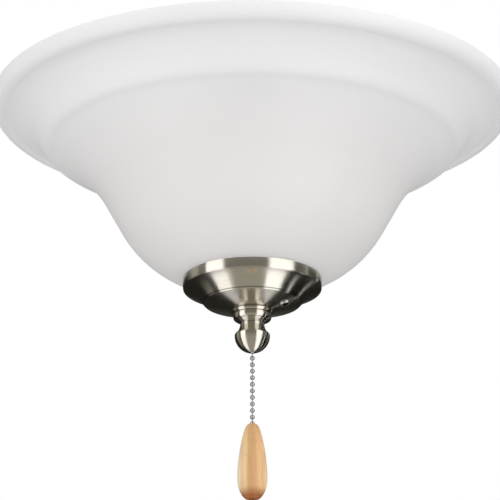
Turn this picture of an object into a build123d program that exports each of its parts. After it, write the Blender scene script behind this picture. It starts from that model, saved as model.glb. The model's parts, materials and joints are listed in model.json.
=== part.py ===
from build123d import *
import os
from math import asin, cos, degrees, hypot, pi, radians, sin, sqrt, tan

# Ceiling fan light kit: a fitter pan with three lamps, and an etched glass bowl on a hollow rod.
# Millimetres, +Z up, origin at the centre of the fitter pan's top face.
os.makedirs("parts", exist_ok=True)

# Clearances shared by every section
overrun = 1.0  # how far a cutting shape runs past the face it cuts
thread_gap = 0.05  # radial gap between a threaded shaft and what screws onto it
slip_gap = 0.15  # radial gap round a shaft that only passes through a hole
pivot_gap = 0.12  # between two beads of the pull chain that swing on each other

# Fitter pan, the shallow cup that the fan's switch housing closes
pan_r = 66.0
pan_depth = 37.0
pan_wall = 1.0
pan_corner_r = 8.0

# Hollow threaded pipe, used for the top nipple and for the centre rod
pipe_r = 5.14
pipe_bore_r = 3.3
nipple_rise = 9.5  # the free stretch above the pan
nipple_inside = 7.6  # the stretch below the pan's top sheet
nipple_relief = 0.35  # undercut where the nipple passes the sheet
pipe_nut_flats = 14.3
pipe_nut_height = 3.2
rod_stand_out = 0.5  # above its upper nut
nipple_nut_height = 4.2
washer_r = 8.2
washer_thick = 0.8
washer_notches = 8
washer_notch = 1.2

# Socket plate, which closes the pan from below and carries the lampholders
plate_gap = 0.3
plate_wall = 1.2
plate_flange = 10.0
plate_corner_r = 2.0

# The fan's own pull chain passes straight down at this place
fan_chain_x = 20.4
fan_chain_y = -7.8
fan_chain_hole_r = 3.2

# Small round-headed screws
screw_r = 1.9
screw_head_r = 3.5
screw_head_height = 2.2
screw_head_round = 1.2
screw_hole_r = 2.05
screw_length = 7.0

# Three lampholders stand out from the centre, each on a bent strap
lamp_angles = (30, 150, 270)
side_screw_turn = 60.0  # from a lamp round to the next screw in the pan's side
lamp_drop = 59.0  # from the pan's top face to the lamps' axes
strap_start = 20.0
strap_wall = 1.2
strap_width = 16.0
strap_reach = 30.0
strap_tab = 32.0
strap_bend_r = 1.6
strap_screw_r = 45.0
holder_r = 17.5
holder_nose_r = 16.7
holder_nose = 23.0
holder_length = 42.0
holder_round = 1.6
holder_floor = 12.8
holder_cavity_r = 14.0
holder_screw_pitch = 14.0
shell_wall = 0.35
shell_inner_r = 13.3
shell_length = 26.0
shell_lip = 4.0
contact_r = 3.0
contact_height = 1.0

# Small round lamp bulb with a medium screw base
bulb_ball_r = 24.0
bulb_length = 89.0
bulb_wall = 0.8
bulb_neck_r = 12.3
bulb_neck_angle = 125.0  # where the ball turns into the neck, from the front pole
base_r = 13.0
base_wall = 0.5
base_length = 26.0
base_tip_r = 4.5
base_tip = 1.2
base_insulator = 2.8
base_insulator_r = 12.0
base_floor = 1.0
base_groove = 0.45
base_pitch = 3.63
base_turns = 5

# Pull switch, on a bridge above the socket plate
drum_x = -5.5
drum_core_r = 3.7
drum_flange_r = 6.6
drum_groove = 3.6
drum_flange = 1.2
cam_width = 5.2
cam_length = 3.5
axle_r = 1.2
axle_gap = 0.05
switch_top = 9.0  # from the pan's top face to the switch's top
switch_wall = 1.0
switch_room_x = 18.0
switch_room_y = 14.0
switch_room_z = 14.0
switch_room_left = 12.9
bushing_r = 4.7
bushing_bore_r = 2.2
bushing_length = 6.5
bushing_mouth = 0.8
switch_nut_r = 6.8
switch_nut_height = 2.6
switch_nut_notches = 12
switch_nut_notch = 0.8
coil_outer_r = 3.4
coil_inner_r = 1.6
coil_width = 2.8
clip_thick = 2.4
clip_width = 6.0
clip_drop = 1.4
clip_inset = 0.3
bridge_wall = 1.2
bridge_width = 14.0
bridge_leg_y = 24.0
bridge_foot = 10.0
bridge_bend_r = 1.5

# Lamp leads and their rubber grommets
lead_r = 1.2
lead_bend_r = 2.8
lead_start_t = 10.5
lead_rise_r = 15.0
lead_level = 3.8  # above the socket plate
lead_end = 8.0
grommet_wall = 1.1
grommet_flange_r = 3.2
grommet_flange = 0.8
cap_x = 38.0
cap_y = -9.4
cap_step = 3.3
cap_mouth_r = 6.2
cap_top_r = 4.4
cap_height = 17.0
cap_wall = 1.0
cap_mouth_rise = 4.8
lead_detour = 12.5

# Etched glass bowl, in steps down from the rim
rim_drop = 45.0
rim_r = 165.0
glass_wall = 3.5
rim_round = 1.0
lip_band = 3.0
lip_width = 9.8
lip_drop = 10.3
tier_width = 21.4
tier_drop = 17.0
tier_sag = 3.0
shoulder_width = 7.0
shoulder_drop = 5.8
flank_width = 32.4
flank_drop = 30.8
wall_drop = 20.3
wall_angle = 61.0  # degrees below the horizontal
bottom_arc_r = 74.0
glass_hole_r = 26.0

# Inner disc that the glass is drawn up against
disc_overhang = 1.0
disc_wall = 1.5
disc_round = 0.6
gasket_inset = 2.0
gasket_width = 6.0
gasket_height = 1.5
seat_gap = 0.05

# Spun bottom plate
spun_r = 43.4
spun_wall = 1.0
spun_band = 6.0
spun_bead = 0.6
rim_ring_height = 0.7
rim_ring_least = 0.2
rim_ring_width = 1.2
step_r = 31.2
step_drop = 9.0
step_height = 1.0
step_inset = 1.0
cove_sag = 1.2
dish_drop = 4.6
dish_r = 13.2

# Chain outlet, an eyelet in the plate's dish for the fan's own chain
outlet_bore_r = 1.9
outlet_barrel_r = 2.6
outlet_flange_r = 3.5
outlet_flange = 0.9
outlet_round = 0.6
outlet_rise = 1.4

# Turned finial
collar_r = 13.2
collar_height = 2.4
collar_round = 0.8
groove_r = 11.2
groove_height = 0.6
second_r = 11.9
second_height = 3.6
second_round = 1.8
neck_r = 7.5
neck_drop = 8.6
ridge_r = 9.7
ridge_drop = 14.6
ball_r = 11.0
ball_drop = 16.6
finial_mouth_r = 2.3
thread_depth = 9.0

# Ball chain and fob
bead_r = 1.6
link_r = 0.5
foot_length = 304.8
foot_bead_count = 72
mouth_to_bead = 3.7
swivel_bead_count = 2
fob_bead_count = 10
fob_top_inset = 0.3
fob_height = 48.0
fob_r = 9.4
fob_top_r = 3.6
fob_widest_share = 0.36
fob_foot_r = 2.4
fob_bore_r = 2.0
fob_dish_r = 2.1
fob_throat_r = 0.8
fob_outline_shares = ((0.975, 0.50), (0.90, 0.63), (0.70, 0.84), (0.52, 0.96))
fob_foot_shares = ((0.20, 0.95), (0.08, 0.72))

# Places that follow from the sizes above
rim_z = -rim_drop
pan_floor_z = -pan_depth
plate_top_z = pan_floor_z + plate_wall
plate_r = pan_r - pan_wall - plate_gap
lamp_z = -lamp_drop
holder_x = strap_start + strap_wall
shell_x = holder_x + holder_floor
contact_x = shell_x + contact_height
crease = (rim_r - lip_width, rim_z - lip_drop)
shoulder_point = (crease[0] - tier_width, crease[1] - tier_drop)
ledge = (shoulder_point[0] - shoulder_width, shoulder_point[1] - shoulder_drop)
wall_top = (ledge[0] - flank_width, ledge[1] - flank_drop)
wall_foot = (wall_top[0] - wall_drop / tan(radians(wall_angle)), wall_top[1] - wall_drop)
arc_r = wall_foot[0] - bottom_arc_r * sin(radians(wall_angle))
arc_z = wall_foot[1] + bottom_arc_r * cos(radians(wall_angle))
gasket_inner_r = glass_hole_r + gasket_inset
gasket_outer_r = gasket_inner_r + gasket_width
disc_r = gasket_outer_r + disc_overhang
bead_pitch = foot_length / foot_bead_count
hole_angle = degrees(asin((glass_hole_r - arc_r) / bottom_arc_r))


def glass_z(radius, inset=0.0):
    """Height of the bowl's bottom at this radius, on a surface this far inside the outer one."""
    return arc_z - sqrt((bottom_arc_r - inset) ** 2 - (radius - arc_r) ** 2)


gasket_rise = max(glass_z(radius, glass_wall + seat_gap) for radius in (gasket_inner_r, gasket_outer_r))
disc_z = gasket_rise + gasket_height
rim_ring_inner_r = spun_r - rim_ring_width
spun_top_z = min(glass_z(spun_r) - rim_ring_height, glass_z(rim_ring_inner_r) - rim_ring_least) - seat_gap
band_foot_z = spun_top_z - spun_band
step_z = band_foot_z - step_drop
dish_z = step_z - step_height
finial_z = dish_z - dish_drop
rod_top_z = plate_top_z + washer_thick + pipe_nut_height + rod_stand_out
rod_foot_z = finial_z - thread_depth
mouth_z = finial_z - ball_drop - sqrt(ball_r**2 - finial_mouth_r**2)
first_bead_z = mouth_z - mouth_to_bead
drum_z = -switch_top - switch_wall - switch_room_z / 2
switch_floor_z = -switch_top - 2 * switch_wall - switch_room_z
bridge_z = switch_floor_z - bridge_wall
guided_count = round((drum_z - first_bead_z) / bead_pitch)  # beads above the finial's mouth
fob_top_z = first_bead_z - fob_bead_count * bead_pitch - fob_top_inset
lamp_plane = Plane(origin=(0, 0, lamp_z), x_dir=(1, 0, 0), z_dir=(0, -1, 0))
lamp_axis = Axis((0, 0, lamp_z), (1, 0, 0))


def bead_z(count):
    """Centre height of a bead, counted down from the first one below the finial."""
    return first_bead_z - count * bead_pitch


def write_three(piece, name):
    """Write a lamp's piece, drawn along +X, once for each lamp."""
    for number, angle in enumerate(lamp_angles, start=1):
        turned = piece.part.rotate(Axis.Z, angle)
        turned.label = f"{name}_{number}"
        export_step(turned, f"parts/{turned.label}.step")


def pipe(top, foot):
    """Hollow threaded pipe between two heights, drawn into the open part."""
    with BuildSketch(Plane.XY.offset(foot)) as ring:
        Circle(pipe_r)
        Circle(pipe_bore_r, mode=Mode.SUBTRACT)
    extrude(ring.sketch, amount=top - foot)


def hex_nut(foot, height):
    """Hexagonal pipe nut that stands on this height, drawn into the open part."""
    with BuildSketch(Plane.XY.offset(foot)) as hexagon:
        RegularPolygon(pipe_nut_flats / 2, 6, major_radius=False)
        Circle(pipe_r + thread_gap, mode=Mode.SUBTRACT)
    extrude(hexagon.sketch, amount=height)


def toothed_washer(foot):
    """Internal-tooth lock washer that lies on this height, drawn into the open part."""
    with BuildSketch(Plane.XY.offset(foot)) as ring:
        Circle(washer_r)
        Circle(pipe_r + slip_gap, mode=Mode.SUBTRACT)
        with PolarLocations(pipe_r + slip_gap + washer_notch / 2, washer_notches):
            Rectangle(2 * washer_notch, washer_notch, mode=Mode.SUBTRACT)
    extrude(ring.sketch, amount=washer_thick)


def round_screw(seat, length):
    """Round-headed screw: the plane lies on its seat and faces the way its head stands out."""
    with BuildSketch(seat) as head_round:
        Circle(screw_head_r)
    head = extrude(head_round.sketch, amount=screw_head_height)
    fillet(head.edges().sort_by(Axis(seat.origin, seat.z_dir))[-1], screw_head_round)
    with BuildSketch(seat) as shank_round:
        Circle(screw_r)
    extrude(shank_round.sketch, amount=-length)


# Planes that face outwards between the lamps, for the screws in the pan's side
side_planes = [
    Plane(
        origin=(0, 0, pan_floor_z + plate_flange / 2 + plate_corner_r / 2),
        z_dir=Vector(1, 0, 0).rotate(Axis.Z, angle + side_screw_turn),
    )
    for angle in lamp_angles
]

# The chain outlet lies square on the bottom plate's dish, straight below the fan chain's holes
outlet_r = hypot(fan_chain_x, fan_chain_y)
dish_slope = dish_drop / (step_r - step_inset - dish_r)
outlet_z = finial_z + (outlet_r - dish_r) * dish_slope
outlet_out = Vector(fan_chain_x, fan_chain_y) / outlet_r
outlet_plane = Plane(
    origin=(fan_chain_x, fan_chain_y, outlet_z),
    z_dir=(outlet_out.X * dish_slope, outlet_out.Y * dish_slope, -1),
)

# Fitter pan
with BuildPart() as fitter_pan:
    with BuildSketch():
        Circle(pan_r)
    extrude(amount=-pan_depth)
    fillet(fitter_pan.edges().sort_by(Axis.Z)[-1], pan_corner_r)
    offset(amount=-pan_wall, openings=fitter_pan.faces().sort_by(Axis.Z)[0])
    with BuildSketch(Plane.XY.offset(overrun)):
        Circle(pipe_r + slip_gap)
        with Locations((fan_chain_x, fan_chain_y)):
            Circle(fan_chain_hole_r)
    extrude(amount=-2 * overrun - pan_wall, mode=Mode.SUBTRACT)
    for plane in side_planes:
        with BuildSketch(plane):
            Circle(screw_hole_r)
        extrude(amount=pan_r + overrun, mode=Mode.SUBTRACT)
fitter_pan.part.label = "fitter_pan"
export_step(fitter_pan.part, "parts/fitter_pan.step")

# Top nipple
with BuildPart() as top_nipple:
    pipe(nipple_rise, 0)
    pipe(-pan_wall, -nipple_inside)
    with BuildSketch(Plane.XY.offset(-pan_wall)):
        Circle(pipe_r - nipple_relief)
        Circle(pipe_bore_r, mode=Mode.SUBTRACT)
    extrude(amount=pan_wall)
top_nipple.part.label = "top_nipple"
export_step(top_nipple.part, "parts/top_nipple.step")

# Nipple lock washer and nut, inside the pan
with BuildPart() as nipple_washer:
    toothed_washer(-pan_wall - washer_thick)
nipple_washer.part.label = "nipple_washer"
export_step(nipple_washer.part, "parts/nipple_washer.step")

with BuildPart() as nipple_nut:
    hex_nut(-pan_wall - washer_thick - nipple_nut_height, nipple_nut_height)
nipple_nut.part.label = "nipple_nut"
export_step(nipple_nut.part, "parts/nipple_nut.step")

# Socket plate: a shallow cup whose flange stands up inside the pan
lead_holes = [(lead_rise_r, side * lead_start_t) for side in (-1, 1)]
with BuildPart() as socket_plate:
    with BuildSketch(Plane.XY.offset(pan_floor_z)):
        Circle(plate_r)
    extrude(amount=plate_flange)
    fillet(socket_plate.edges().sort_by(Axis.Z)[0], plate_corner_r)
    offset(amount=-plate_wall, openings=socket_plate.faces().sort_by(Axis.Z)[-1])
    with BuildSketch(Plane.XY.offset(pan_floor_z - overrun)):
        Circle(pipe_r + slip_gap)
        with Locations((fan_chain_x, fan_chain_y)):
            Circle(fan_chain_hole_r)
        with Locations((0, bridge_leg_y + bridge_foot / 2), (0, -bridge_leg_y - bridge_foot / 2)):
            Circle(screw_hole_r)
        for angle in lamp_angles:
            with Locations(Location((0, 0, 0), angle)):
                with Locations(*lead_holes):
                    Circle(lead_r + grommet_wall)
                with Locations((strap_screw_r, 0)):
                    Circle(screw_hole_r)
    extrude(amount=plate_wall + 2 * overrun, mode=Mode.SUBTRACT)
    for plane in side_planes:
        with BuildSketch(plane):
            Circle(screw_hole_r)
        extrude(amount=pan_r, mode=Mode.SUBTRACT)
socket_plate.part.label = "socket_plate"
export_step(socket_plate.part, "parts/socket_plate.step")

# Three screws hold the pan to the socket plate's flange
with BuildPart() as plate_screws:
    for plane in side_planes:
        round_screw(plane.offset(pan_r), screw_length)
plate_screws.part.label = "plate_screws"
export_step(plate_screws.part, "parts/plate_screws.step")

# Centre rod with its nuts and washer
with BuildPart() as centre_rod:
    pipe(rod_top_z, rod_foot_z)
centre_rod.part.label = "centre_rod"
export_step(centre_rod.part, "parts/centre_rod.step")

with BuildPart() as rod_washer:
    toothed_washer(plate_top_z)
rod_washer.part.label = "rod_washer"
export_step(rod_washer.part, "parts/rod_washer.step")

with BuildPart() as rod_upper_nut:
    hex_nut(plate_top_z + washer_thick, pipe_nut_height)
rod_upper_nut.part.label = "rod_upper_nut"
export_step(rod_upper_nut.part, "parts/rod_upper_nut.step")

with BuildPart() as rod_lower_nut:
    hex_nut(pan_floor_z - pipe_nut_height, pipe_nut_height)
rod_lower_nut.part.label = "rod_lower_nut"
export_step(rod_lower_nut.part, "parts/rod_lower_nut.step")

# Lampholder straps: a foot under the socket plate and a tab behind the lampholder
with BuildPart() as strap:
    with BuildSketch(Plane.XZ):
        with BuildLine():
            Polyline(
                (strap_start, pan_floor_z),
                (strap_start + strap_reach, pan_floor_z),
                (strap_start + strap_reach, pan_floor_z - strap_wall),
                (holder_x, pan_floor_z - strap_wall),
                (holder_x, pan_floor_z - strap_tab),
                (strap_start, pan_floor_z - strap_tab),
                close=True,
            )
        make_face()
    extrude(amount=strap_width / 2, both=True)
    corner = strap.edges().filter_by(Axis.Y).group_by(Axis.Z)[-1].sort_by(Axis.X)[0]
    fillet(corner, strap_bend_r)
    with BuildSketch(Plane.XY.offset(pan_floor_z + overrun)):
        with Locations((strap_screw_r, 0)):
            Circle(screw_hole_r)
    extrude(amount=-strap_wall - 2 * overrun, mode=Mode.SUBTRACT)
    with BuildSketch(Plane(origin=(strap_start - overrun, 0, lamp_z), z_dir=(1, 0, 0))):
        with Locations((-holder_screw_pitch / 2, 0), (holder_screw_pitch / 2, 0)):
            Circle(screw_hole_r)
    extrude(amount=strap_wall + 2 * overrun, mode=Mode.SUBTRACT)
write_three(strap, "lampholder_strap")

with BuildPart() as strap_screws:
    for angle in lamp_angles:
        place = Vector(strap_screw_r, 0, pan_floor_z - strap_wall).rotate(Axis.Z, angle)
        round_screw(Plane(origin=place, z_dir=(0, 0, -1)), screw_length)
strap_screws.part.label = "strap_screws"
export_step(strap_screws.part, "parts/strap_screws.step")

# Porcelain lampholders
with BuildPart() as holder:
    with BuildSketch(lamp_plane):
        with BuildLine():
            Polyline(
                (holder_x, 0),
                (holder_x, holder_r - holder_round),
                (holder_x + holder_round, holder_r),
                (holder_x + holder_length - holder_nose, holder_r),
                (holder_x + holder_length - holder_nose, holder_nose_r),
                (holder_x + holder_length, holder_nose_r),
                (holder_x + holder_length, holder_cavity_r),
                (shell_x, holder_cavity_r),
                (shell_x, 0),
                close=True,
            )
        make_face()
    revolve(axis=lamp_axis)
    front = holder.edges().filter_by(GeomType.CIRCLE).group_by(Axis.X)[-1].sort_by(SortBy.LENGTH)[-1]
    fillet(front, holder_round)
    with BuildSketch(Plane(origin=(holder_x, 0, lamp_z), z_dir=(1, 0, 0))):
        with Locations((-holder_screw_pitch / 2, 0), (holder_screw_pitch / 2, 0)):
            Circle(screw_hole_r)
    extrude(amount=screw_length, mode=Mode.SUBTRACT)
write_three(holder, "lampholder")

with BuildPart() as lampholder_screws:
    for angle in lamp_angles:
        for side in (-1, 1):
            place = Vector(strap_start, 0, lamp_z + side * holder_screw_pitch / 2).rotate(Axis.Z, angle)
            back = Plane(origin=place, z_dir=Vector(-1, 0, 0).rotate(Axis.Z, angle))
            round_screw(back, screw_length)
lampholder_screws.part.label = "lampholder_screws"
export_step(lampholder_screws.part, "parts/lampholder_screws.step")

# Screw shells and centre contacts, inside the lampholders
with BuildPart() as screw_shell:
    with BuildSketch(lamp_plane):
        with BuildLine():
            Polyline(
                (shell_x, shell_inner_r + shell_wall),
                (shell_x + shell_length, shell_inner_r + shell_wall),
                (shell_x + shell_length, shell_inner_r),
                (shell_x + shell_wall, shell_inner_r),
                (shell_x + shell_wall, shell_inner_r - shell_lip),
                (shell_x, shell_inner_r - shell_lip),
                close=True,
            )
        make_face()
    revolve(axis=lamp_axis)
write_three(screw_shell, "screw_shell")

with BuildPart() as contact:
    with BuildSketch(Plane(origin=(shell_x, 0, lamp_z), z_dir=(1, 0, 0))):
        Circle(contact_r)
    extrude(amount=contact_height)
write_three(contact, "centre_contact")

# Bulb bases, whose rolled thread is a row of shallow grooves
insulator_x = contact_x + base_tip
base_x = insulator_x + base_insulator
with BuildPart() as bulb_base:
    with BuildSketch(lamp_plane):
        with BuildLine():
            Polyline(
                (contact_x, 0),
                (contact_x, base_tip_r),
                (insulator_x, base_tip_r),
                (base_x, base_insulator_r),
                (base_x, base_r),
                (contact_x + base_length, base_r),
                (contact_x + base_length, base_r - base_wall),
                (base_x + base_floor, base_r - base_wall),
                (base_x + base_floor, 0),
                close=True,
            )
        make_face()
    revolve(axis=lamp_axis)
    with BuildSketch(lamp_plane):
        with Locations(*[(base_x + base_pitch * (turn + 1), base_r) for turn in range(base_turns)]):
            Circle(base_groove)
    revolve(axis=lamp_axis, mode=Mode.SUBTRACT)
write_three(bulb_base, "bulb_base")

# Bulb envelopes
ball_x = contact_x + bulb_length - bulb_ball_r
neck_turn = radians(bulb_neck_angle)
turn_point = Vector(ball_x + bulb_ball_r * cos(neck_turn), bulb_ball_r * sin(neck_turn))
turn_slope = Vector(-sin(neck_turn), cos(neck_turn))
neck_end = Vector(contact_x + base_length, bulb_neck_r)
with BuildPart() as bulb_glass:
    with BuildSketch(lamp_plane):
        with BuildLine():
            Line((base_x + base_floor + base_pitch, bulb_neck_r), neck_end)
            TangentArc(turn_point, neck_end, tangent=turn_slope)
            CenterArc((ball_x, 0), bulb_ball_r, 0, bulb_neck_angle)
            offset(amount=bulb_wall, side=Side.RIGHT)
        make_face()
    revolve(axis=lamp_axis)
write_three(bulb_glass, "bulb_glass")

# Switch case, a box that is open on one side and has a hole for the bushing
case_left = -switch_room_left - switch_wall
case_x = case_left + switch_room_x / 2 + switch_wall
side_y = switch_room_y / 2
case_size = (switch_room_x + 2 * switch_wall, switch_room_z + 2 * switch_wall)
with BuildPart() as switch_case:
    with BuildSketch(Plane.XZ.offset(side_y + switch_wall)):
        with Locations((case_x, drum_z)):
            RectangleRounded(*case_size, switch_wall)
    extrude(amount=-switch_room_y - switch_wall)
    with BuildSketch(Plane.XZ.offset(side_y)):
        with Locations((case_x, drum_z)):
            Rectangle(switch_room_x, switch_room_z)
    extrude(amount=-switch_room_y - overrun, mode=Mode.SUBTRACT)
    with BuildSketch(Plane.XY.offset(switch_floor_z - overrun)):
        Circle(bushing_r + thread_gap)
    extrude(amount=switch_wall + 2 * overrun, mode=Mode.SUBTRACT)
switch_case.part.label = "switch_case"
export_step(switch_case.part, "parts/switch_case.step")

with BuildPart() as switch_cover:
    with BuildSketch(Plane.XZ.offset(-side_y)):
        with Locations((case_x, drum_z)):
            RectangleRounded(*case_size, switch_wall)
    extrude(amount=-switch_wall)
switch_cover.part.label = "switch_cover"
export_step(switch_cover.part, "parts/switch_cover.step")

with BuildPart() as switch_axle:
    with BuildSketch(Plane.XZ.offset(-side_y)):
        with Locations((drum_x, drum_z)):
            Circle(axle_r)
    extrude(amount=switch_room_y)
switch_axle.part.label = "switch_axle"
export_step(switch_axle.part, "parts/switch_axle.step")

# Switch drum: a grooved wheel for the chain, with a square cam beside it
drum_half = drum_groove / 2 + drum_flange
with BuildPart() as switch_drum:
    for start, width, radius in (
        (-drum_half, drum_flange, drum_flange_r),
        (-drum_groove / 2, drum_groove, drum_core_r),
        (drum_groove / 2, drum_flange, drum_flange_r),
    ):
        with BuildSketch(Plane.XZ.offset(-start - width)):
            with Locations((drum_x, drum_z)):
                Circle(radius)
        extrude(amount=width)
    with BuildSketch(Plane.XZ.offset(drum_half)):
        with Locations((drum_x, drum_z)):
            Rectangle(cam_width, cam_width)
    extrude(amount=cam_length)
    with BuildSketch(Plane.XZ.offset(-side_y)):
        with Locations((drum_x, drum_z)):
            Circle(axle_r + axle_gap)
    extrude(amount=switch_room_y, mode=Mode.SUBTRACT)
switch_drum.part.label = "switch_drum"
export_step(switch_drum.part, "parts/switch_drum.step")

# Return coil, wound flat round the axle beside the drum
with BuildPart() as return_coil:
    with BuildSketch(Plane.XZ.offset(-side_y)):
        with Locations((drum_x, drum_z)):
            Circle(coil_outer_r)
            Circle(coil_inner_r, mode=Mode.SUBTRACT)
    extrude(amount=coil_width)
return_coil.part.label = "return_coil"
export_step(return_coil.part, "parts/return_coil.step")

# Two contact clips under the case's roof
clip_spread = switch_room_x - 2 * clip_inset - clip_thick
with BuildPart() as contact_clips:
    with BuildSketch(Plane.XY.offset(-switch_top - switch_wall)):
        with Locations((case_x - clip_spread / 2, 0), (case_x + clip_spread / 2, 0)):
            Rectangle(clip_thick, clip_width)
    extrude(amount=-clip_drop)
contact_clips.part.label = "contact_clips"
export_step(contact_clips.part, "parts/contact_clips.step")

# Switch bushing, a threaded tube with a flared mouth, and its notched nut
bushing_foot_z = switch_floor_z + switch_wall - bushing_length
with BuildPart() as switch_bushing:
    with BuildSketch(Plane.XY.offset(bushing_foot_z)):
        Circle(bushing_r)
        Circle(bushing_bore_r, mode=Mode.SUBTRACT)
    extrude(amount=bushing_length)
    mouth = switch_bushing.edges().group_by(Axis.Z)[0].sort_by(SortBy.LENGTH)[0]
    chamfer(mouth, bushing_mouth)
switch_bushing.part.label = "switch_bushing"
export_step(switch_bushing.part, "parts/switch_bushing.step")

with BuildPart() as switch_nut:
    with BuildSketch(Plane.XY.offset(bridge_z - switch_nut_height)):
        Circle(switch_nut_r)
        Circle(bushing_r + thread_gap, mode=Mode.SUBTRACT)
        with PolarLocations(switch_nut_r, switch_nut_notches):
            Circle(switch_nut_notch, mode=Mode.SUBTRACT)
    extrude(amount=switch_nut_height)
switch_nut.part.label = "switch_nut"
export_step(switch_nut.part, "parts/switch_nut.step")

# Switch bridge, a bent strap over the rod's upper nut
with BuildPart() as switch_bridge:
    with BuildSketch(Plane.YZ):
        with BuildLine():
            Polyline(
                (0, switch_floor_z),
                (bridge_leg_y, switch_floor_z),
                (bridge_leg_y, plate_top_z + bridge_wall),
                (bridge_leg_y + bridge_foot, plate_top_z + bridge_wall),
                (bridge_leg_y + bridge_foot, plate_top_z),
                (bridge_leg_y - bridge_wall, plate_top_z),
                (bridge_leg_y - bridge_wall, bridge_z),
                (0, bridge_z),
                close=True,
            )
        make_face()
        mirror(about=Plane.YZ)
    extrude(amount=bridge_width / 2, both=True)
    fillet(switch_bridge.edges().filter_by(Axis.X).group_by(Axis.Z)[-1], bridge_bend_r)
    with BuildSketch(Plane.XY.offset(plate_top_z - overrun)):
        Circle(bushing_r + slip_gap)
        with Locations((0, bridge_leg_y + bridge_foot / 2), (0, -bridge_leg_y - bridge_foot / 2)):
            Circle(screw_hole_r)
    extrude(amount=switch_floor_z - plate_top_z + 2 * overrun, mode=Mode.SUBTRACT)
switch_bridge.part.label = "switch_bridge"
export_step(switch_bridge.part, "parts/switch_bridge.step")

with BuildPart() as bridge_screws:
    for side in (-1, 1):
        foot = (0, side * (bridge_leg_y + bridge_foot / 2), plate_top_z + bridge_wall)
        round_screw(Plane(origin=foot), bridge_wall + plate_wall)
bridge_screws.part.label = "bridge_screws"
export_step(bridge_screws.part, "parts/bridge_screws.step")

# Lamp leads: from each lampholder's back, up through the socket plate and into a wire cap
level_z = plate_top_z + lead_level


def lead(angle, side, stops):
    """Sweep one lead from its lampholder by way of these places to its cap, into the open part."""
    back = Vector(holder_x, side * lead_start_t, lamp_z).rotate(Axis.Z, angle)
    rise = Vector(lead_rise_r, side * lead_start_t, lamp_z).rotate(Axis.Z, angle)
    level = Vector(rise.X, rise.Y, level_z)
    route = [back, rise, level] + [Vector(x, y, level_z) for x, y in stops]
    route.append(Vector(stops[-1][0], stops[-1][1], level_z + lead_end))
    with BuildLine() as path:
        FilletPolyline(*route, radius=lead_bend_r)
    with BuildSketch(Plane(origin=path.line @ 0, z_dir=path.line % 0)) as wire:
        Circle(lead_r)
    sweep(wire.sketch, path=path.line)


with BuildPart() as hot_leads:
    lead(lamp_angles[1], -1, [(-cap_x, cap_y + cap_step)])
    lead(lamp_angles[2], -1, [(-cap_x, cap_y - cap_step)])
    lead(lamp_angles[0], -1, [(0, -lead_detour), (-cap_x, cap_y)])
hot_leads.part.label = "hot_leads"
export_step(hot_leads.part, "parts/hot_leads.step")

with BuildPart() as neutral_leads:
    lead(lamp_angles[0], 1, [(cap_x, cap_y + cap_step)])
    lead(lamp_angles[2], 1, [(cap_x, cap_y - cap_step)])
    lead(lamp_angles[1], 1, [(0, lead_detour), (cap_x, cap_y)])
neutral_leads.part.label = "neutral_leads"
export_step(neutral_leads.part, "parts/neutral_leads.step")

# Rubber grommets, one round each lead
with BuildPart() as grommets:
    for foot, height, radius in (
        (pan_floor_z - grommet_flange, grommet_flange, grommet_flange_r),
        (pan_floor_z, plate_wall, lead_r + grommet_wall),
        (plate_top_z, grommet_flange, grommet_flange_r),
    ):
        with BuildSketch(Plane.XY.offset(foot)):
            for angle in lamp_angles:
                with Locations(Location((0, 0, 0), angle)):
                    with Locations(*lead_holes):
                        Circle(radius)
                        Circle(lead_r + seat_gap, mode=Mode.SUBTRACT)
        extrude(amount=height)
grommets.part.label = "grommets"
export_step(grommets.part, "parts/grommets.step")

# Twist-on wire caps, mouth down
cap_foot_z = level_z + cap_mouth_rise
with BuildPart() as wire_caps:
    for side in (-1, 1):
        for wall, mode in ((0, Mode.ADD), (cap_wall, Mode.SUBTRACT)):
            with BuildSketch(Plane.XY.offset(cap_foot_z)):
                with Locations((side * cap_x, cap_y)):
                    Circle(cap_mouth_r - wall)
            with BuildSketch(Plane.XY.offset(cap_foot_z + cap_height - wall)):
                with Locations((side * cap_x, cap_y)):
                    Circle(cap_top_r - wall)
            loft(mode=mode)
wire_caps.part.label = "wire_caps"
export_step(wire_caps.part, "parts/wire_caps.step")

# Glass bowl: rolled lip, coved tier, rounded shoulder, then a bell whose foot is open
with BuildPart() as glass_bowl:
    with BuildSketch(Plane.XZ):
        with BuildLine():
            band = Line((rim_r, rim_z), (rim_r, rim_z - lip_band))
            lip = TangentArc(band @ 1, crease, tangent=band % 1)
            tier = SagittaArc(lip @ 1, shoulder_point, -tier_sag)
            shoulder = TangentArc(tier @ 1, ledge, tangent=tier % 1)
            wall = Line(wall_top, wall_foot)
            TangentArc(wall @ 0, ledge, tangent=(wall % 0) * -1)
            CenterArc((arc_r, arc_z), bottom_arc_r, hole_angle - 90, wall_angle - hole_angle)
            offset(amount=glass_wall, side=Side.RIGHT)
        make_face()
    revolve(axis=Axis.Z)
    fillet(glass_bowl.edges().group_by(Axis.Z)[-1], rim_round)
glass_bowl.part.label = "glass_bowl"
export_step(glass_bowl.part, "parts/glass_bowl.step")


def cushion(inner_r, outer_r, flat_z, inset):
    """Soft ring between a flat face and the surface this far inside the bowl's outer one."""
    middle_r = (inner_r + outer_r) / 2
    with BuildSketch(Plane.XZ) as section:
        with BuildLine():
            ThreePointArc(
                (inner_r, glass_z(inner_r, inset)),
                (middle_r, glass_z(middle_r, inset)),
                (outer_r, glass_z(outer_r, inset)),
            )
            Polyline(
                (outer_r, glass_z(outer_r, inset)),
                (outer_r, flat_z),
                (inner_r, flat_z),
                (inner_r, glass_z(inner_r, inset)),
            )
        make_face()
    revolve(section.sketch, axis=Axis.Z)


# Upper gasket, inner disc and its nut
with BuildPart() as upper_gasket:
    cushion(gasket_inner_r, gasket_outer_r, disc_z, glass_wall + seat_gap)
upper_gasket.part.label = "upper_gasket"
export_step(upper_gasket.part, "parts/upper_gasket.step")

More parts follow.
